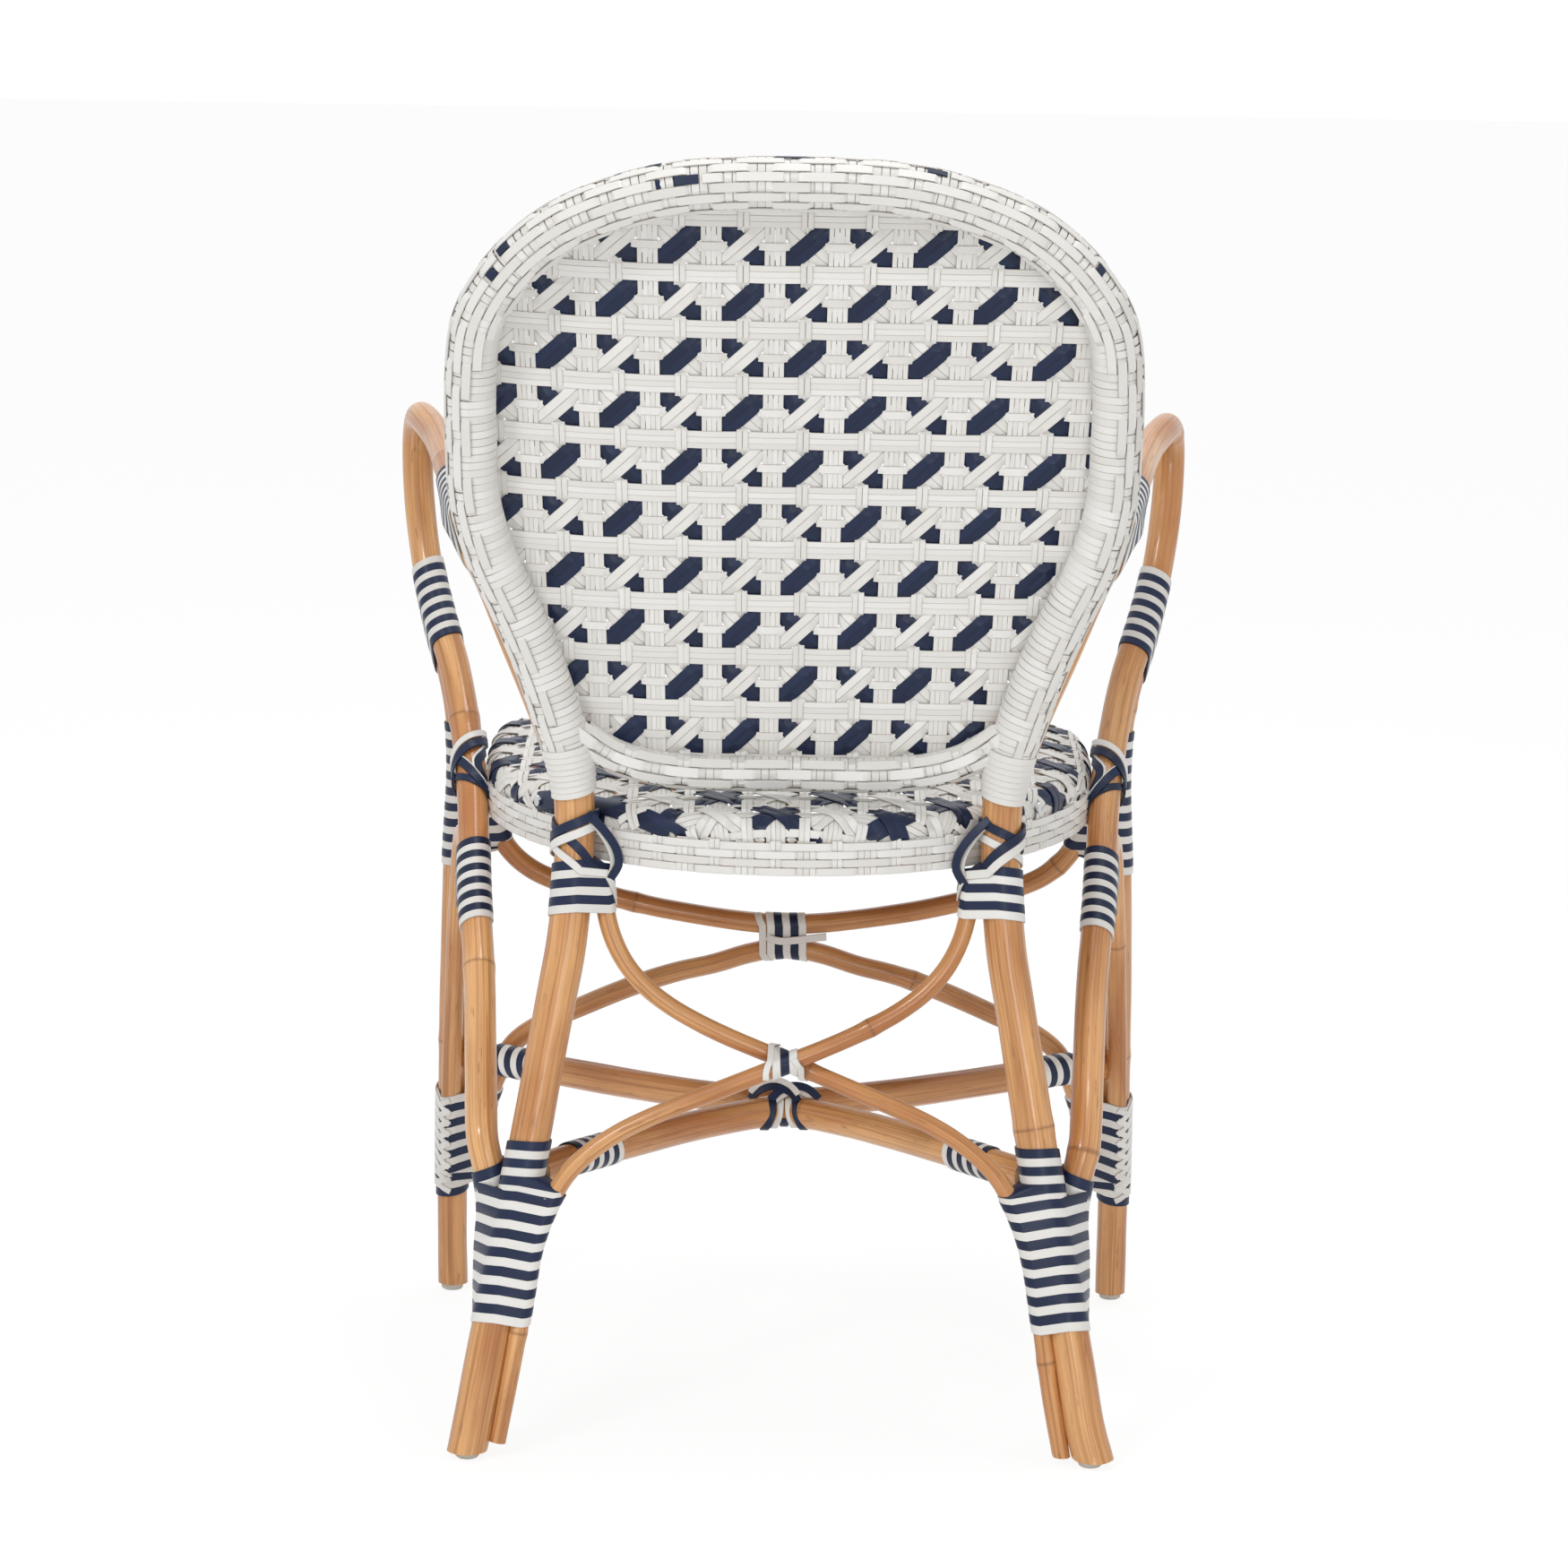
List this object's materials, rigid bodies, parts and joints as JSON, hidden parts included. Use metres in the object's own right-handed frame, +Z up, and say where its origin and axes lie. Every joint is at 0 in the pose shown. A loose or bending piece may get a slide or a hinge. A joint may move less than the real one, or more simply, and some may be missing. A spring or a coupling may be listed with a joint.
{
  "type": "rattan bistro armchair",
  "caption": "Rattan bistro armchair: bent poles lashed with two-tone strips, an open hooped back and a seat in woven strip, crossed braces and bowed stretchers.",
  "frame": {"origin": "on the floor under the middle of the chair's box", "axes": "+Z up, -Y towards the front of the chair, +X to the sitter's left"},
  "size_m": [0.5784, 0.5016, 0.9028],
  "materials": {
    "rattan": "clear glossy lacquer over bent rattan cane",
    "pale_weave": "off-white woven strip with navy crossings, satin",
    "navy_strip": "navy and off-white flat strips wound side by side, satin",
    "glide_plastic": "pale moulded plastic",
    "screw_steel": "plain bright steel"
  },
  "bodies": {
    "root": {"hoop_and_rear_legs": "rattan", "front_upper_arc": "rattan", "front_lower_arch": "rattan", "rear_cross_brace_front": "rattan", "rear_cross_brace_rear": "rattan", "front_stretcher_bow": "rattan", "rear_stretcher_bow": "rattan", "seat_ring": "rattan", "apron_hoop": "rattan", "seat_bearer": "rattan", "back_lower_rail": "rattan", "left_arm_pole": "rattan", "left_front_leg": "rattan", "left_arm_upright": "rattan", "left_side_arch": "rattan", "left_seat_screw": "screw_steel", "left_rear_foot_lashing": "navy_strip", "left_post_lashing": "navy_strip", "left_post_wrap": "pale_weave", "left_front_foot_lashing": "navy_strip", "left_front_seat_lashing": "navy_strip", "left_under_seat_lashing": "navy_strip", "left_seat_side_lashing": "navy_strip", "left_arm_front_lashing": "navy_strip", "left_arm_tip_lashing": "navy_strip", "left_front_stretcher_collar": "navy_strip", "left_rear_stretcher_collar": "navy_strip", "rear_left_glide": "glide_plastic", "front_left_glide": "glide_plastic", "right_arm_pole": "rattan", "right_front_leg": "rattan", "right_arm_upright": "rattan", "right_side_arch": "rattan", "right_seat_screw": "screw_steel", "right_rear_foot_lashing": "navy_strip", "right_post_lashing": "navy_strip", "right_post_wrap": "pale_weave", "right_front_foot_lashing": "navy_strip", "right_front_seat_lashing": "navy_strip", "right_under_seat_lashing": "navy_strip", "right_seat_side_lashing": "navy_strip", "right_arm_front_lashing": "navy_strip", "right_arm_tip_lashing": "navy_strip", "right_front_stretcher_collar": "navy_strip", "right_rear_stretcher_collar": "navy_strip", "rear_right_glide": "glide_plastic", "front_right_glide": "glide_plastic", "seat_apron_weave": "pale_weave", "seat_weave": "pale_weave", "hoop_border_weave": "pale_weave", "back_rail_weave": "pale_weave", "back_panel_weave": "pale_weave", "brace_centre_lashing": "pale_weave", "stretcher_centre_lashing": "navy_strip", "front_arc_centre_lashing": "navy_strip"}
  },
  "joints": []
}
